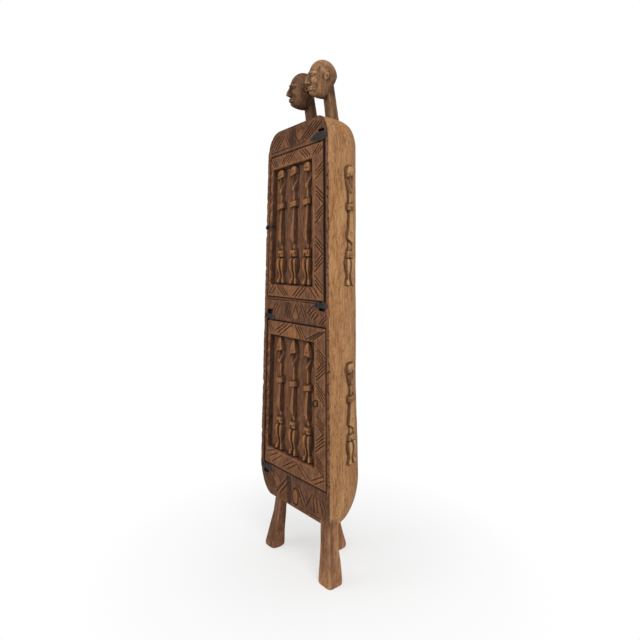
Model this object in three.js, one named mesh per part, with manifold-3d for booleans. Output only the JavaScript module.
// A tall carved wooden cabinet: one hollowed log with three legs and two heads, two pegged plank doors
// with relief figures, and forged iron straps, nails, hook and pull. Millimetres, +Z up, front towards -Y.
import * as THREE from 'three';
import { mergeVertices } from 'three/addons/utils/BufferGeometryUtils.js';
import Module from 'manifold-3d';

const wasm = await Module();
wasm.setup();

// Body of the case. Its front is the plane y = 0 and its section is a D with a rounded back.
const BODY_BOTTOM = 197;
const BODY_TOP = 1438;
const BODY_DEPTH = 187;
const BODY_HALF_WIDTH = 171.4;
const WIDTH_LEVEL = 800;
const SIDE_TAPER = 0.023;
const SECTION_POWER = 3;
const TOP_ROUND = { left: 60, right: 47, back: 36, rise: 84 };
const BOTTOM_ROUND = { left: 66, right: 3, back: 70, rise: 108 };

// The back swells towards the bottom, from nothing at `from` to its full `extra` at `full`.
const BACK_SWELL = { from: 640, full: 330, extra: 12 };
const TOP_SLOPE = 0.07;
const SLOPE_START = 1275;
const SLOPE_FULL = 1352;

// Compartments inside the case.
const SIDE_WALL = 26;
const BACK_WALL = 25;
const DOOR_LEDGE = 9;

// Doors. The hinge edge is a round nose about the peg axis.
const UPPER_DOOR = {
  bottom: 872,
  top: 1356,
  hingeSide: 1,
  topSlope: TOP_SLOPE,
  pegUp: 36,
  pegDown: 28,
  border: { hinge: 60, free: 24, top: 46, bottom: 42 },
  figureInset: 35,
  chestLevel: 0.675,
};
const LOWER_DOOR = {
  bottom: 298,
  top: 791,
  hingeSide: -1,
  topSlope: 0,
  pegUp: 34,
  pegDown: 34,
  border: { hinge: 35, free: 54, top: 54, bottom: 57 },
  figureInset: 41,
  chestLevel: 0.615,
};
const STILE_WIDTH = 16;
const DOOR_GAP = 2;
const DOOR_THICKNESS = 26;
const HINGE_NOSE = 16;
const HINGE_CLEARANCE = 1.6;
const PEG_RADIUS = 10.5;
const PEG_CLEARANCE = 2;
const SEAT_GAP = 0.3;
const RECESS_DEPTH = 14;

// Relief figures, three on each door and two on each side of the case.
const FIGURE_HALF_WIDTH = 27;
const FIGURE_END_GAP = 6;
const FIGURE_ROOM = 0.4;
const FIGURE_SEAT = 4;
const FIGURE_COUNT = 3;
const SIDE_FIGURE = { halfSize: 32, depth: 10, raise: 3, seat: 6, y: 96 };
const SIDE_FIGURES = [
  { bottom: 922, top: 1292, chestLevel: 0.66 },
  { bottom: 366, top: 676, chestLevel: 0.645 },
];

// Legs: height, half size and squareness of each station, from the floor to inside the body. The front legs
// stand `inset` from the side of the body, and the back leg `behind` its back.
const FOOT_RADIUS = 32;
const LEG_SIDES = 16;
const RIGHT_LEG = [
  { z: 0, inset: 38, y: 41, r: FOOT_RADIUS - 3, power: 2.2 },
  { z: 9, inset: 38, y: 41, r: FOOT_RADIUS, power: 2.3 },
  { z: 60, inset: 36, y: 36, r: 26, power: 4 },
  { z: 140, inset: 29, y: 27, r: 22.5, power: 6 },
  { z: BODY_BOTTOM + 9, inset: 24.7, y: 24.1, r: 24, power: 10 },
  { z: BODY_BOTTOM + 133, inset: 28, y: 26, r: 24, power: 10 },
];
const LEFT_LEG = [
  { z: 0, inset: 37, y: 41, r: FOOT_RADIUS - 3, power: 2.2 },
  { z: 9, inset: 37, y: 41, r: FOOT_RADIUS, power: 2.3 },
  { z: 60, inset: 49, y: 39, r: 26, power: 3 },
  { z: 130, inset: 69, y: 36, r: 20, power: 3.5 },
  { z: BODY_BOTTOM + 3, inset: 85, y: 33, r: 16, power: 4 },
  { z: BODY_BOTTOM + 53, inset: 92, y: 32, r: 16, power: 4 },
];
const BACK_LEG = [
  { z: 0, behind: 12, r: FOOT_RADIUS - 3, power: 2.2 },
  { z: 9, behind: 12, r: FOOT_RADIUS, power: 2.3 },
  { z: 60, behind: -3, r: 27, power: 3 },
  { z: 130, behind: -24, r: 23, power: 3.5 },
  { z: BODY_BOTTOM + 3, behind: -45, r: 21, power: 4 },
  { z: BODY_BOTTOM + 63, behind: -61, r: 21, power: 4 },
];

// Necks and heads. Heights count from the top of the body. Both heads look a little to their right.
const NECK = { foot: -43, footY: 112, footHalf: 20, top: 134, topY: 80, topHalf: 17 };
const NECK_SIDES = 16;
const HEAD = { height: 126, centreY: 58, halfWidth: 34, back: 48, front: 47 };
const HEAD_SIDES = 24;
const HEAD_LEVELS = 18;
const BUSTS = [
  { x: 62, y: 0, turn: -24, crown: 207 },
  { x: -49, y: 9, turn: -24, crown: 195 },
];

// Ironwork: thickness of the straps, and the nails that hold them.
const STRAP_THICKNESS = 3;
const NAIL_RADIUS = 1.7;
const NAIL_HOLE_CLEARANCE = 0.4;
const NAIL_LENGTH = 18;
const NAIL_HEAD_RADIUS = 4.4;
const NAIL_HEAD_HEIGHT = 2.4;
const NAIL_SIDES = 8;

// Hook on the upper door and its keeper nail in the stile.
const HOOK = { z: 1113, pivotFromEdge: 19, barHeight: 9, thickness: 4, eyeRadius: 7.5 };
const HOOK_LEG = { drop: 7, width: 5, play: 1 };
const KEEPER = { radius: 2, reach: 10, depth: 16, fromEdge: 11 };

// Staple that the lower door is pulled by, and the slot beside it.
const PULL = { z: 556, fromEdge: 45, spread: 18, reach: 12, wire: 1.7, depth: 10, sides: 8 };
const PULL_SLOT = { fromEdge: 34, width: 5, height: 17, depth: 12 };

// How finely the round forms are cut.
const CASE_STEPS = 26;
const COMPARTMENT_STEPS = 18;
const ROUND_STEPS = 7;
const HOLLOW_SIDES = 32;
const NOTCH_SIDES = 20;
const PEG_SIDES = 18;
const NOSE_STEPS = 6;

const WOOD_CASE = new THREE.Color(0.37, 0.19, 0.09);
const WOOD_DOOR = new THREE.Color(0.24, 0.11, 0.06);
const IRON = new THREE.Color(0.05, 0.05, 0.055);

// Half width of the case at a height, before its ends round off.
function halfWidth(z) {
  return BODY_HALF_WIDTH - SIDE_TAPER * (z - WIDTH_LEVEL);
}

// The top of the case and of the upper door climbs to the right, from nothing at SLOPE_START.
function slopeAt(z) {
  const share = (z - SLOPE_START) / (SLOPE_FULL - SLOPE_START);
  return TOP_SLOPE * THREE.MathUtils.clamp(share, 0, 1);
}

// Turns a three.js geometry, or a bare one with position and index, into a solid.
function solidOf(geometry) {
  const bare = geometry.clone();
  for (const name of Object.keys(bare.attributes)) {
    if (name !== 'position') bare.deleteAttribute(name);
  }
  const merged = mergeVertices(bare, 1e-4);
  const mesh = new wasm.Mesh({
    numProp: 3,
    vertProperties: Float32Array.from(merged.attributes.position.array),
    triVerts: Uint32Array.from(merged.index.array),
  });
  return new wasm.Manifold(mesh);
}

// Turns a solid back into a three.js geometry.
function geometryOf(solid) {
  const { numProp, vertProperties, triVerts } = solid.getMesh();
  const positions = new Float32Array((vertProperties.length / numProp) * 3);
  for (let i = 0; i < positions.length / 3; i += 1) {
    for (let k = 0; k < 3; k += 1) positions[3 * i + k] = vertProperties[numProp * i + k];
  }
  const geometry = new THREE.BufferGeometry();
  geometry.setAttribute('position', new THREE.BufferAttribute(positions, 3));
  geometry.setIndex(new THREE.BufferAttribute(Uint32Array.from(triVerts), 1));
  geometry.computeVertexNormals();
  return geometry;
}

// Closed solid through rings of points, each anticlockwise seen from above, from the lowest to the highest.
function loft(rings) {
  const count = rings[0].length;
  const positions = rings.flat().flatMap((p) => [p.x, p.y, p.z]);
  const index = [];
  for (let level = 0; level + 1 < rings.length; level += 1) {
    for (let i = 0; i < count; i += 1) {
      const a = level * count + i;
      const b = level * count + ((i + 1) % count);
      index.push(a, b, b + count, a, b + count, a + count);
    }
  }
  const cap = (ring, offset, flip) => {
    const contour = ring.map((p) => new THREE.Vector2(p.x, p.y));
    for (const [a, b, c] of THREE.ShapeUtils.triangulateShape(contour, [])) {
      const triangle = flip ? [a, c, b] : [a, b, c];
      index.push(...triangle.map((i) => i + offset));
    }
  };
  cap(rings[0], 0, true);
  cap(rings.at(-1), (rings.length - 1) * count, false);
  const geometry = new THREE.BufferGeometry();
  geometry.setAttribute('position', new THREE.Float32BufferAttribute(positions, 3));
  geometry.setIndex(index);
  return solidOf(geometry);
}

// Joins a list of solids.
function join(solids) {
  return solids.reduce((sum, solid) => sum.add(solid));
}

// Box between two corners.
function box(low, high) {
  const size = high.map((value, axis) => value - low[axis]);
  const centre = high.map((value, axis) => (value + low[axis]) / 2);
  const geometry = new THREE.BoxGeometry(...size);
  geometry.translate(...centre);
  return solidOf(geometry);
}

// Round bar between two points.
function bar(from, to, radius, sides) {
  const start = new THREE.Vector3(...from);
  const end = new THREE.Vector3(...to);
  const along = end.clone().sub(start);
  const geometry = new THREE.CylinderGeometry(radius, radius, along.length(), sides);
  const turn = new THREE.Quaternion().setFromUnitVectors(new THREE.Vector3(0, 1, 0), along.clone().normalize());
  geometry.applyQuaternion(turn);
  geometry.translate(...start.add(end).multiplyScalar(0.5).toArray());
  return solidOf(geometry);
}

// Ring of points on a superellipse.
function roundedRing({ x, y, z, r, power }, sides) {
  const ring = [];
  for (let i = 0; i < sides; i += 1) {
    const angle = (2 * Math.PI * i) / sides;
    const reach = r / (Math.abs(Math.cos(angle)) ** power + Math.abs(Math.sin(angle)) ** power) ** (1 / power);
    ring.push(new THREE.Vector3(x + reach * Math.cos(angle), y + reach * Math.sin(angle), z));
  }
  return ring;
}

// D-shaped section of the case: straight front, then round the back from right to left.
function caseRing(z, { left, right, front, back }, steps) {
  const ring = [];
  for (let i = 0; i <= steps; i += 1) {
    const angle = (Math.PI * i) / steps;
    const across = Math.abs(Math.cos(angle)) ** (2 / SECTION_POWER) * Math.sign(Math.cos(angle));
    const along = Math.max(Math.sin(angle), 0) ** (2 / SECTION_POWER);
    const x = across * (across > 0 ? right : left);
    const y = front + (back - front) * along;
    ring.push(new THREE.Vector3(x, y, z + slopeAt(z) * x));
  }
  return ring;
}

// How far an end that rounds off over `rise` has drawn in at `distance` from that end, as a share.
function roundShare(distance, rise) {
  const t = 1 - Math.min(Math.max(distance / rise, 0), 1);
  return 1 - Math.sqrt(1 - t * t);
}

// Depth of the case at a height, before its ends round off.
function depthAt(z) {
  const share = THREE.MathUtils.smoothstep(-z, -BACK_SWELL.from, -BACK_SWELL.full);
  return BODY_DEPTH + BACK_SWELL.extra * share;
}

// Section of the outside of the case at a height.
function caseSize(z) {
  const low = roundShare(z - BODY_BOTTOM, BOTTOM_ROUND.rise);
  const high = roundShare(BODY_TOP - z, TOP_ROUND.rise);
  return {
    left: halfWidth(z) - BOTTOM_ROUND.left * low - TOP_ROUND.left * high,
    right: halfWidth(z) - BOTTOM_ROUND.right * low - TOP_ROUND.right * high,
    front: 0,
    back: depthAt(z) - BOTTOM_ROUND.back * low - TOP_ROUND.back * high,
  };
}

// Heights at which the outside of the case is cut into rings: close together where the ends round off.
function caseHeights() {
  const heights = [];
  for (let i = 0; i <= ROUND_STEPS; i += 1) {
    heights.push(BODY_BOTTOM + BOTTOM_ROUND.rise * (1 - Math.cos((Math.PI / 2) * (i / ROUND_STEPS))));
  }
  const swell = BACK_SWELL.from - BACK_SWELL.full;
  heights.push(BACK_SWELL.full + swell / 3, BACK_SWELL.full + (2 * swell) / 3, BACK_SWELL.from, SLOPE_START);
  for (let i = ROUND_STEPS; i >= 0; i -= 1) {
    heights.push(BODY_TOP - TOP_ROUND.rise * (1 - Math.cos((Math.PI / 2) * (i / ROUND_STEPS))));
  }
  return heights;
}

// Outside of the body, before anything is cut out of it.
function bodySolid() {
  return loft(caseHeights().map((z) => caseRing(z, caseSize(z), CASE_STEPS)));
}

// Where a door's peg axis meets a height.
function pegX(door, z) {
  return door.hingeSide * (halfWidth(z) - STILE_WIDTH - DOOR_GAP - HINGE_NOSE);
}

// Peg axis between two heights, as two points.
function pegLine(door, from, to) {
  const y = DOOR_THICKNESS / 2;
  return [
    [pegX(door, from), y, from],
    [pegX(door, to), y, to],
  ];
}

// Compartment behind a door: the inside of the D with upright walls, open to the front.
function compartment(door) {
  const low = door.bottom + DOOR_LEDGE;
  const high = door.top - DOOR_LEDGE;
  const half = halfWidth(high) - SIDE_WALL;
  const size = { left: half, right: half, front: -1, back: BODY_DEPTH - BACK_WALL };
  const rings = [low, high].map((z) => caseRing(z, size, COMPARTMENT_STEPS));
  for (const point of rings[0]) point.z = low;
  return loft(rings);
}

// Pocket that a door lies in, its round hollow at the hinge, and the open notches for its two pegs.
function doorPocket(door) {
  const grow = DOOR_GAP;
  const ends = [door.bottom - grow, door.top + grow];
  const rings = ends.map((z, level) => {
    const half = halfWidth(z) - STILE_WIDTH;
    const slope = level ? door.topSlope : 0;
    const corners = [
      [-half, -1],
      [half, -1],
      [half, DOOR_THICKNESS + 1],
      [-half, DOOR_THICKNESS + 1],
    ];
    return corners.map(([x, y]) => new THREE.Vector3(x, y, z + slope * x));
  });
  const topEnd = door.top + grow + door.topSlope * pegX(door, door.top);
  const hollow = bar(...pegLine(door, ends[0], topEnd), HINGE_NOSE + HINGE_CLEARANCE, HOLLOW_SIDES);
  return join([loft(rings), hollow, pegNotch(door, 1), pegNotch(door, -1)]);
}

// Height of a door's end at its peg: `way` is 1 for the top and -1 for the bottom.
function doorEnd(door, way) {
  if (way < 0) return door.bottom;
  return door.top + door.topSlope * pegX(door, door.top);
}

// Notch in a rail, open to the front, that one peg stands in.
function pegNotch(door, way) {
  const inner = doorEnd(door, way);
  const length = way > 0 ? door.pegUp : door.pegDown;
  const play = way > 0 ? PEG_CLEARANCE : SEAT_GAP;
  const outer = inner + way * (length + play);
  const radius = PEG_RADIUS + PEG_CLEARANCE;
  const [low, high] = [Math.min(inner, outer), Math.max(inner, outer)];
  const x = pegX(door, (low + high) / 2);
  const back = DOOR_THICKNESS / 2;
  return join([
    bar([x, back, low], [x, back, high], radius, NOTCH_SIDES),
    box([x - radius, -1, low], [x + radius, back, high]),
  ]);
}

// A standing relief figure from its feet to its cap, as shares of its height, half width and depth, with
// the cleft between the legs. `up` counts below the chest block from the feet to the block, and above it
// from the block to the crown.
const FIGURE_LEGS_AND_BODY = [
  { up: 0, wide: 0.62, reach: 0.6, cleft: 0.5 },
  { up: 0.045, wide: 0.6, reach: 0.58, cleft: 0.5 },
  { up: 0.075, wide: 0.48, reach: 0.36, cleft: 0.5 },
  { up: 0.22, wide: 0.46, reach: 0.6, cleft: 0.5 },
  { up: 0.32, wide: 0.62, reach: 0.95, cleft: 0.45 },
  { up: 0.385, wide: 0.46, reach: 0.6, cleft: 0.3 },
  { up: 0.4, wide: 0.66, reach: 0.85, cleft: 0 },
  { up: 0.46, wide: 0.6, reach: 0.9, cleft: 0 },
  { up: 0.49, wide: 0.3, reach: 0.4, cleft: 0 },
  { up: 0.56, wide: 0.42, reach: 1, cleft: 0 },
  { up: 0.76, wide: 0.4, reach: 0.8, cleft: 0 },
  { up: 0.965, wide: 0.26, reach: 0.5, cleft: 0 },
];
const FIGURE_CHEST_AND_HEAD = [
  { up: -0.045, wide: 0.78, reach: 0.9, cleft: 0 },
  { up: 0.08, wide: 0.8, reach: 0.95, cleft: 0 },
  { up: 0.11, wide: 0.24, reach: 0.42, cleft: 0 },
  { up: 0.28, wide: 0.24, reach: 0.42, cleft: 0 },
  { up: 0.31, wide: 0.36, reach: 0.8, cleft: 0 },
  { up: 0.63, wide: 0.5, reach: 0.62, cleft: 0 },
  { up: 0.68, wide: 0.58, reach: 1, cleft: 0 },
  { up: 0.87, wide: 0.54, reach: 0.92, cleft: 0 },
  { up: 1, wide: 0.34, reach: 0.5, cleft: 0 },
];

// A relief figure with its feet at z = 0 and its back below the ground that it stands on. It faces -Y.
function reliefFigure(height, chestLevel, halfSize, depth, seat) {
  const stations = [
    ...FIGURE_LEGS_AND_BODY.map((station) => ({ ...station, z: station.up * chestLevel * height })),
    ...FIGURE_CHEST_AND_HEAD.map((station) => {
      const level = chestLevel + station.up * (1 - chestLevel);
      return { ...station, z: level * height };
    }),
  ];
  const rings = stations.map(({ z, wide, reach, cleft }) => {
    const half = wide * halfSize;
    const front = reach * depth;
    const outline = [
      [-half, seat],
      [-half, -0.35 * front],
      [-0.72 * half, -0.86 * front],
      [-0.34 * half, -front],
      [0, -front * (1 - cleft)],
      [0.34 * half, -front],
      [0.72 * half, -0.86 * front],
      [half, -0.35 * front],
      [half, seat],
    ];
    return outline.map(([x, y]) => new THREE.Vector3(x, y, z));
  });
  return loft(rings);
}

// Sunk field of a door: its four edges, with the sides parallel to the door's own.
function recess(door, z) {
  const edge = halfWidth(z) - STILE_WIDTH - DOOR_GAP;
  const right = door.hingeSide > 0 ? door.border.hinge : door.border.free;
  const left = door.hingeSide > 0 ? door.border.free : door.border.hinge;
  return { left: left - edge, right: edge - right };
}

// One door: plank, pegs, sunk field and figures.
function doorSolid(door) {
  const side = door.hingeSide;
  const middle = DOOR_THICKNESS / 2;
  const tip = Math.acos(Math.sqrt(HINGE_NOSE ** 2 - middle ** 2) / HINGE_NOSE);
  const rings = [door.bottom, door.top].map((z, level) => {
    const axis = Math.abs(pegX(door, z));
    const free = halfWidth(z) - STILE_WIDTH - DOOR_GAP;
    const outline = [[-free, 0]];
    for (let i = 0; i <= NOSE_STEPS; i += 1) {
      const angle = tip * ((2 * i) / NOSE_STEPS - 1);
      outline.push([axis + HINGE_NOSE * Math.cos(angle), middle + HINGE_NOSE * Math.sin(angle)]);
    }
    outline.push([-free, DOOR_THICKNESS]);
    const points = outline.map(([x, y]) => {
      const slope = level ? door.topSlope : 0;
      return new THREE.Vector3(side * x, y, z + slope * side * x);
    });
    return side > 0 ? points : points.reverse();
  });
  const fieldLow = door.bottom + door.border.bottom;
  const fieldHigh = door.top - door.border.top;
  const field = [fieldLow, fieldHigh].map((z) => {
    const { left, right } = recess(door, z);
    const corners = [
      [left, -1],
      [right, -1],
      [right, RECESS_DEPTH],
      [left, RECESS_DEPTH],
    ];
    return corners.map(([x, y]) => new THREE.Vector3(x, y, z + (z === fieldHigh ? door.topSlope * x : 0)));
  });
  const pegs = bar(
    ...pegLine(door, door.bottom - door.pegDown, doorEnd(door, 1) + door.pegUp),
    PEG_RADIUS,
    PEG_SIDES,
  );
  const figures = [];
  for (let i = 0; i < FIGURE_COUNT; i += 1) {
    const { left, right } = recess(door, (fieldLow + fieldHigh) / 2);
    const pitch = (right - left - 2 * door.figureInset) / (FIGURE_COUNT - 1);
    const x = left + door.figureInset + i * pitch;
    const half = Math.min(FIGURE_HALF_WIDTH, FIGURE_ROOM * pitch);
    const rise = fieldHigh - fieldLow - 2 * FIGURE_END_GAP + door.topSlope * x;
    const figure = reliefFigure(rise, door.chestLevel, half, RECESS_DEPTH - 1, FIGURE_SEAT);
    figures.push(figure.translate(x, RECESS_DEPTH, fieldLow + FIGURE_END_GAP));
  }
  return join([loft(rings).subtract(loft(field)), pegs, ...figures]);
}

// Bump of height 1 centred on `at` with the given half spread.
function bump(value, at, spread) {
  return Math.exp(-(((value - at) / spread) ** 2));
}

// Outline of the head at a share `u` of its height: its half width, and its reach to the back and front.
// An egg above the cheeks, narrowing to the jaw, with the back of the skull clear of the nape.
function headProfile(u) {
  const { smoothstep } = THREE.MathUtils;
  const dome = Math.sqrt(Math.max(1 - Math.max((u - 0.56) / 0.445, 0) ** 2, 0));
  const chin = Math.sqrt(Math.max(1 - Math.max((0.21 - u) / 0.215, 0) ** 2, 0));
  return {
    half: HEAD.halfWidth * dome * chin * (0.6 + 0.4 * smoothstep(u, 0, 0.55)),
    back: HEAD.back * dome * chin * (0.4 + 0.6 * smoothstep(u, 0.05, 0.62)),
    front: HEAD.front * dome * chin,
  };
}

// One level ring of the head: its outline, with a brow, a nose ridge, lips, eye sockets and ears.
function headRing(u) {
  const { smoothstep } = THREE.MathUtils;
  const { half, back, front } = headProfile(u);
  const lips = 7 * bump(u, 0.23, 0.05);
  const brow = 5 * bump(u, 0.65, 0.07);
  const nose = 14 * smoothstep(u, 0.32, 0.37) * (1 - smoothstep(u, 0.37, 0.68));
  const sockets = 5 * bump(u, 0.56, 0.05);
  const ears = 5 * bump(u, 0.52, 0.11);
  const ring = [];
  for (let i = 0; i < HEAD_SIDES; i += 1) {
    const angle = (2 * Math.PI * i) / HEAD_SIDES;
    const ahead = -Math.cos(angle);
    const across = Math.sin(angle);
    const middle = bump(across, 0, 0.2);
    const cheek = bump(Math.abs(across), 0.5, 0.2);
    const reach = ahead > 0 ? ahead * (front + brow + (nose + lips) * middle - sockets * cheek) : ahead * back;
    const ear = ears * bump(ahead, 0, 0.16) * Math.sign(across);
    ring.push(new THREE.Vector3(-half * across - ear, -reach, u * HEAD.height));
  }
  return ring;
}

// Head with its chin at z = 0 and its axis at the origin, facing -Y.
function headSolid() {
  const rings = [];
  for (let level = 0; level < HEAD_LEVELS; level += 1) {
    const share = (level + 0.35) / (HEAD_LEVELS - 0.3);
    rings.push(headRing(0.5 - 0.5 * Math.cos(Math.PI * share)));
  }
  return loft(rings);
}

// One neck with its head.
function bustSolid({ x, y, turn, crown }) {
  const drop = crown - BUSTS[0].crown;
  const neck = loft([
    roundedRing({ x: 0, y: NECK.footY, z: NECK.foot, r: NECK.footHalf, power: 6 }, NECK_SIDES),
    roundedRing({ x: 0, y: NECK.topY, z: NECK.top + drop, r: NECK.topHalf, power: 6 }, NECK_SIDES),
  ]);
  const head = headSolid().rotate(0, 0, turn).translate(0, HEAD.centreY, crown - HEAD.height);
  return neck.add(head).translate(x, y, BODY_TOP);
}

// Relief figures on the two sides of the case, seated where its section has come round to them.
function sideFigures() {
  const figures = [];
  for (const { bottom, top, chestLevel } of SIDE_FIGURES) {
    const middle = (bottom + top) / 2;
    const share = (1 - (SIDE_FIGURE.y / BODY_DEPTH) ** SECTION_POWER) ** (1 / SECTION_POWER);
    const x = halfWidth(middle) * share;
    const turn = THREE.MathUtils.radToDeg(Math.atan2((SIDE_FIGURE.y / BODY_DEPTH) ** 2 * halfWidth(middle),
      BODY_DEPTH * share ** 2));
    const lean = THREE.MathUtils.radToDeg(Math.atan(SIDE_TAPER));
    const { halfSize, depth, raise, seat } = SIDE_FIGURE;
    for (const side of [1, -1]) {
      const figure = reliefFigure(top - bottom, chestLevel, halfSize, depth, seat)
        .translate(0, raise, bottom - middle)
        .rotate(0, 0, side * (90 + turn))
        .rotate(0, -side * lean, 0)
        .translate(side * x, SIDE_FIGURE.y, middle);
      figures.push(figure);
    }
  }
  return figures;
}

// The iron straps: the door each one holds, which end of it, and its outline about the peg axis as
// [across, up] with across positive towards the edge of the case. Nails stand at the named points.
const STRAPS = [
  {
    name: 'upper_door_top_strap',
    door: UPPER_DOOR,
    way: 1,
    up: 16,
    outline: [[-52, -4], [-32, -12], [-6, -15], [16, -12], [27, -5], [29, 4], [20, 12], [-4, 14], [-26, 10], [-42, 3]],
    nails: [[-35, -1], [20, 1]],
  },
  {
    name: 'upper_door_bottom_strap',
    door: UPPER_DOOR,
    way: -1,
    up: -12,
    outline: [[-39, -2], [-30, -8], [-8, -7], [10, -10], [26, -9], [27, 2], [16, 8], [-12, 7], [-33, 8]],
    nails: [[-29, 0], [20, -2]],
  },
  {
    name: 'lower_door_top_strap',
    door: LOWER_DOOR,
    way: 1,
    up: 13,
    outline: [[-32, -9], [-16, -11], [8, -6], [24, -4], [28, 3], [24, 10], [6, 9], [-18, 4], [-31, 0]],
    nails: [[-24, -4], [20, 4]],
  },
  {
    name: 'lower_door_bottom_strap',
    door: LOWER_DOOR,
    way: -1,
    up: -14,
    outline: [[-40, -10], [-22, -11], [4, -8], [26, -4], [28, 6], [14, 11], [-12, 9], [-34, 3], [-42, -3]],
    nails: [[-31, -4], [20, 3]],
  },
];

// Where a strap's zero point lies on the front of the case.
function strapCentre({ door, way, up }) {
  const z = doorEnd(door, way) + up;
  return { x: pegX(door, z), z };
}

// Points of a strap in the plane of the front, as [x, z] pairs.
function strapPoints(strap, points) {
  const centre = strapCentre(strap);
  return points.map(([across, up]) => [centre.x + strap.door.hingeSide * across, centre.z + up]);
}

// Plate that lies in front of the plane y = 0, from its outline in x and z.
function frontPlate(points, back, thickness) {
  const shape = new THREE.Shape(points.map(([x, z]) => new THREE.Vector2(x, z)));
  const geometry = new THREE.ExtrudeGeometry(shape, { depth: thickness, bevelEnabled: false });
  geometry.rotateX(Math.PI / 2);
  geometry.translate(0, -back, 0);
  return solidOf(geometry);
}

// Hole for a nail through whatever lies at the front.
function nailHole([x, z], depth) {
  return bar([x, -40, z], [x, depth + 1, z], NAIL_RADIUS + NAIL_HOLE_CLEARANCE, NAIL_SIDES);
}

// Nail whose head sits at `seat` in front of the plane y = 0.
function nailSolid([x, z], seat, depth) {
  const profile = [
    [0, 0],
    [NAIL_RADIUS, 1],
    [NAIL_RADIUS, depth + seat],
    [NAIL_HEAD_RADIUS, depth + seat],
    [NAIL_HEAD_RADIUS * 0.86, depth + seat + NAIL_HEAD_HEIGHT * 0.6],
    [0, depth + seat + NAIL_HEAD_HEIGHT],
  ];
  const geometry = new THREE.LatheGeometry(profile.map(([r, y]) => new THREE.Vector2(r, y)), NAIL_SIDES);
  geometry.rotateX(Math.PI);
  geometry.translate(x, depth, z);
  return solidOf(geometry);
}

const STRAP_SEAT = STRAP_THICKNESS + 2 * SEAT_GAP;

function strapSolid(strap) {
  const plate = frontPlate(strapPoints(strap, strap.outline), SEAT_GAP, STRAP_THICKNESS);
  const holes = strapPoints(strap, strap.nails).map((point) => nailHole(point, 0));
  return plate.subtract(join(holes));
}

function strapNails(strap) {
  return strapPoints(strap, strap.nails).map((point) => nailSolid(point, STRAP_SEAT, NAIL_LENGTH));
}

// Hook of the upper door: an eye round its pivot nail, a bar across the gap, and a leg bent down past
// the keeper nail. The underside of the bar lies on the keeper.
const hookEdge = halfWidth(HOOK.z);
const hookPivot = [-(hookEdge - STILE_WIDTH - DOOR_GAP - HOOK.pivotFromEdge), HOOK.z];
const keeperPoint = [-(hookEdge - KEEPER.fromEdge), HOOK.z - HOOK.barHeight / 2 - KEEPER.radius - SEAT_GAP];

function hookSolid() {
  const [pivotX, pivotZ] = hookPivot;
  const half = HOOK.barHeight / 2;
  const legInner = keeperPoint[0] - KEEPER.radius - HOOK_LEG.play;
  const legOuter = legInner - HOOK_LEG.width;
  const plate = frontPlate(
    [
      [pivotX, pivotZ - half],
      [pivotX, pivotZ + half],
      [legOuter + 2, pivotZ + half],
      [legOuter, pivotZ + half - 2],
      [legOuter + 1, pivotZ - half - HOOK_LEG.drop],
      [legInner - 1, pivotZ - half - HOOK_LEG.drop],
      [legInner, pivotZ - half],
    ].reverse(),
    SEAT_GAP,
    HOOK.thickness,
  );
  const eye = bar([pivotX, -SEAT_GAP, pivotZ], [pivotX, -SEAT_GAP - HOOK.thickness, pivotZ], HOOK.eyeRadius, 16);
  return plate.add(eye).subtract(nailHole(hookPivot, 0));
}

// Staple of the lower door: a wire bent to a U, both legs in the wood.
const pullX = halfWidth(PULL.z) - STILE_WIDTH - DOOR_GAP - PULL.fromEdge;

function pullSolid(radius) {
  const half = PULL.spread / 2;
  const bend = half * 0.7;
  const path = new THREE.CurvePath();
  const point = (y, z) => new THREE.Vector3(pullX, y, PULL.z + z);
  const reach = -PULL.reach;
  path.add(new THREE.LineCurve3(point(PULL.depth, -half), point(reach + bend, -half)));
  path.add(new THREE.QuadraticBezierCurve3(point(reach + bend, -half), point(reach, -half), point(reach, bend - half)));
  path.add(new THREE.LineCurve3(point(reach, bend - half), point(reach, half - bend)));
  path.add(new THREE.QuadraticBezierCurve3(point(reach, half - bend), point(reach, half), point(reach + bend, half)));
  path.add(new THREE.LineCurve3(point(reach + bend, half), point(PULL.depth, half)));
  const section = new THREE.Shape(
    Array.from({ length: PULL.sides }, (_, i) => {
      const angle = (2 * Math.PI * i) / PULL.sides;
      return new THREE.Vector2(radius * Math.cos(angle), radius * Math.sin(angle));
    }),
  );
  return solidOf(new THREE.ExtrudeGeometry(section, { steps: 24, extrudePath: path, bevelEnabled: false }));
}

function pullHoles() {
  const half = PULL.spread / 2;
  return join(
    [-half, half].map((z) =>
      bar(
        [pullX, -1, PULL.z + z],
        [pullX, PULL.depth + SEAT_GAP, PULL.z + z],
        PULL.wire + NAIL_HOLE_CLEARANCE,
        PULL.sides,
      ),
    ),
  );
}

function pullSlot() {
  const x = halfWidth(PULL.z) - STILE_WIDTH - DOOR_GAP - PULL_SLOT.fromEdge;
  const [across, up] = [PULL_SLOT.width / 2, PULL_SLOT.height / 2];
  return box([x - across, -1, PULL.z - up], [x + across, PULL_SLOT.depth, PULL.z + up]);
}

function keeperSolid(radius, reach) {
  const [x, z] = keeperPoint;
  return bar([x, KEEPER.depth, z], [x, -reach, z], radius, 10);
}

// The three legs.
function legSolids() {
  const edge = halfWidth(BODY_BOTTOM);
  const legs = [
    RIGHT_LEG.map((station) => ({ ...station, x: edge - station.inset })),
    LEFT_LEG.map((station) => ({ ...station, x: station.inset - edge })),
    BACK_LEG.map((station) => ({ ...station, x: 0, y: BODY_DEPTH + station.behind })),
  ];
  return legs.map((leg) => loft(leg.map((station) => roundedRing(station, LEG_SIDES))));
}

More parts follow.
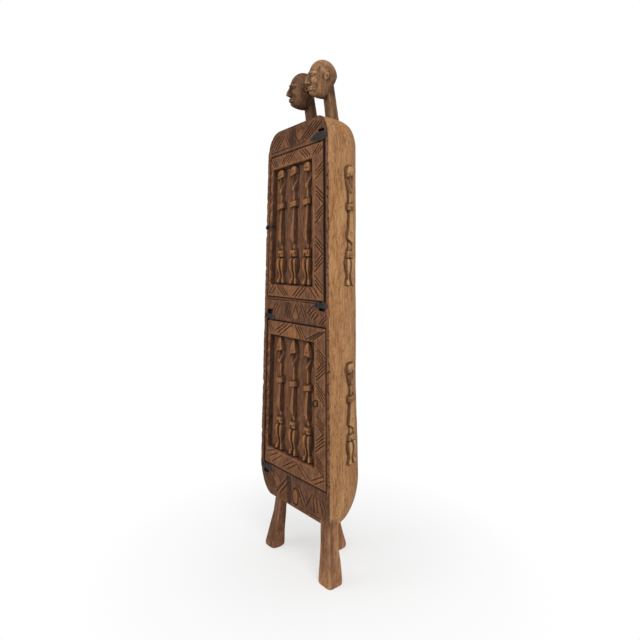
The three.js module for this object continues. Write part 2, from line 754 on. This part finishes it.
// The case: one log. Body, legs, necks, heads and side figures, less the compartments, the door
// pockets and every nail hole.
function caseSolid() {
  const wood = join([bodySolid(), ...legSolids(), ...BUSTS.map(bustSolid), ...sideFigures()]);
  const doors = [UPPER_DOOR, LOWER_DOOR];
  const strapHoles = STRAPS.flatMap((strap) =>
    strapPoints(strap, strap.nails).map((point) => nailHole(point, NAIL_LENGTH)),
  );
  const keeperHole = keeperSolid(KEEPER.radius + NAIL_HOLE_CLEARANCE, 1).translate(0, 1, 0);
  return wood.subtract(join([...doors.map(compartment), ...doors.map(doorPocket), ...strapHoles, keeperHole]));
}

const group = new THREE.Group();
const material = {
  carcass: new THREE.MeshStandardMaterial({ color: WOOD_CASE, roughness: 0.75 }),
  door: new THREE.MeshStandardMaterial({ color: WOOD_DOOR, roughness: 0.72 }),
  iron: new THREE.MeshStandardMaterial({ color: IRON, roughness: 0.6, metalness: 0.7 }),
};

function place(name, solid, finish) {
  const mesh = new THREE.Mesh(geometryOf(solid), finish.clone());
  mesh.name = name;
  group.add(mesh);
}

place('carved_case', caseSolid(), material.carcass);
place('upper_door', doorSolid(UPPER_DOOR).subtract(nailHole(hookPivot, NAIL_LENGTH)), material.door);
place('lower_door', doorSolid(LOWER_DOOR).subtract(pullHoles().add(pullSlot())), material.door);
for (const strap of STRAPS) {
  place(strap.name, strapSolid(strap), material.iron);
  for (const [i, nail] of strapNails(strap).entries()) {
    place(`${strap.name}_nail_${i + 1}`, nail, material.iron);
  }
}
place('upper_door_hook', hookSolid(), material.iron);
place('hook_pivot_nail', nailSolid(hookPivot, HOOK.thickness + 2 * SEAT_GAP, NAIL_LENGTH), material.iron);
place('hook_keeper_nail', keeperSolid(KEEPER.radius, KEEPER.reach), material.iron);
place('lower_door_pull', pullSolid(PULL.wire), material.iron);

// The origin is on the floor, under the middle of the whole piece.
const extent = new THREE.Box3().setFromObject(group);
group.position.set(-(extent.min.x + extent.max.x) / 2, -(extent.min.y + extent.max.y) / 2, -extent.min.z);

export default group;
